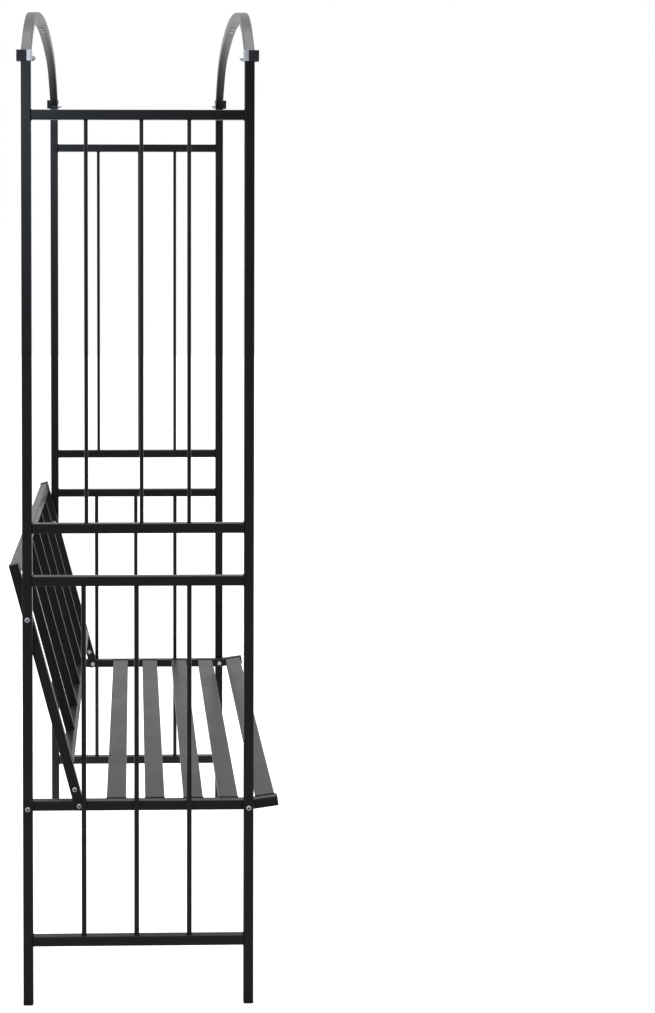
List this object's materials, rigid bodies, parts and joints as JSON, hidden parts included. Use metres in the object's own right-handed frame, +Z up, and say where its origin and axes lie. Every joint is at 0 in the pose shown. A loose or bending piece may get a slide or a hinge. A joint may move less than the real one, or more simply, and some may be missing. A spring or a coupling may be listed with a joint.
{
  "type": "metal trellis arch",
  "caption": "Walk-through steel garden arch with slatted trellis sides and a built-in slatted bench with a reclined back between them.",
  "frame": {"origin": "centre of the box round the whole arch and bench, on the ground between the feet", "axes": "+Z up; the seat faces -Y; +X runs along the bench, to the right of a person who looks at it from the front"},
  "size_m": [1.2866, 0.5498, 2.07],
  "materials": {
    "black_powder_coat": "black powder coat, satin",
    "black_plastic": "moulded, fine matte",
    "zinc_steel": "bright zinc plate"
  },
  "bodies": {
    "root": {"back_lower_rail": "black_powder_coat", "back_spindle_1": "black_powder_coat", "back_spindle_2": "black_powder_coat", "back_spindle_3": "black_powder_coat", "back_spindle_4": "black_powder_coat", "back_spindle_5": "black_powder_coat", "back_top_rail": "black_powder_coat", "bench_bolts": "zinc_steel", "clamp_plates": "zinc_steel", "clamp_screws": "zinc_steel", "clamp_shells": "black_plastic", "corner_elbows": "zinc_steel", "crown_screws": "zinc_steel", "crown_spigots": "zinc_steel", "left_arch_front": "black_powder_coat", "left_arch_rear": "black_powder_coat", "left_back_bracket": "black_powder_coat", "left_back_rail": "black_powder_coat", "left_bottom_rail": "black_powder_coat", "left_lower_frame_top_rail": "black_powder_coat", "left_lower_post_front": "black_powder_coat", "left_lower_post_rear": "black_powder_coat", "left_lower_rod_front": "black_powder_coat", "left_lower_rod_middle": "black_powder_coat", "left_lower_rod_rear": "black_powder_coat", "left_seat_rail": "black_powder_coat", "left_top_rail": "black_powder_coat", "left_upper_frame_bottom_rail": "black_powder_coat", "left_upper_post_front": "black_powder_coat", "left_upper_post_rear": "black_powder_coat", "left_upper_rod_front": "black_powder_coat", "left_upper_rod_middle": "black_powder_coat", "left_upper_rod_rear": "black_powder_coat", "nuts": "zinc_steel", "post_splice_sleeves": "zinc_steel", "right_arch_front": "black_powder_coat", "right_arch_rear": "black_powder_coat", "right_back_bracket": "black_powder_coat", "right_back_rail": "black_powder_coat", "right_bottom_rail": "black_powder_coat", "right_lower_frame_top_rail": "black_powder_coat", "right_lower_post_front": "black_powder_coat", "right_lower_post_rear": "black_powder_coat", "right_lower_rod_front": "black_powder_coat", "right_lower_rod_middle": "black_powder_coat", "right_lower_rod_rear": "black_powder_coat", "right_seat_rail": "black_powder_coat", "right_top_rail": "black_powder_coat", "right_upper_frame_bottom_rail": "black_powder_coat", "right_upper_post_front": "black_powder_coat", "right_upper_post_rear": "black_powder_coat", "right_upper_rod_front": "black_powder_coat", "right_upper_rod_middle": "black_powder_coat", "right_upper_rod_rear": "black_powder_coat", "seat_slat_1": "black_powder_coat", "seat_slat_2": "black_powder_coat", "seat_slat_3": "black_powder_coat", "seat_slat_4": "black_powder_coat", "seat_slat_5": "black_powder_coat", "tube_plugs": "black_plastic"}
  },
  "joints": []
}
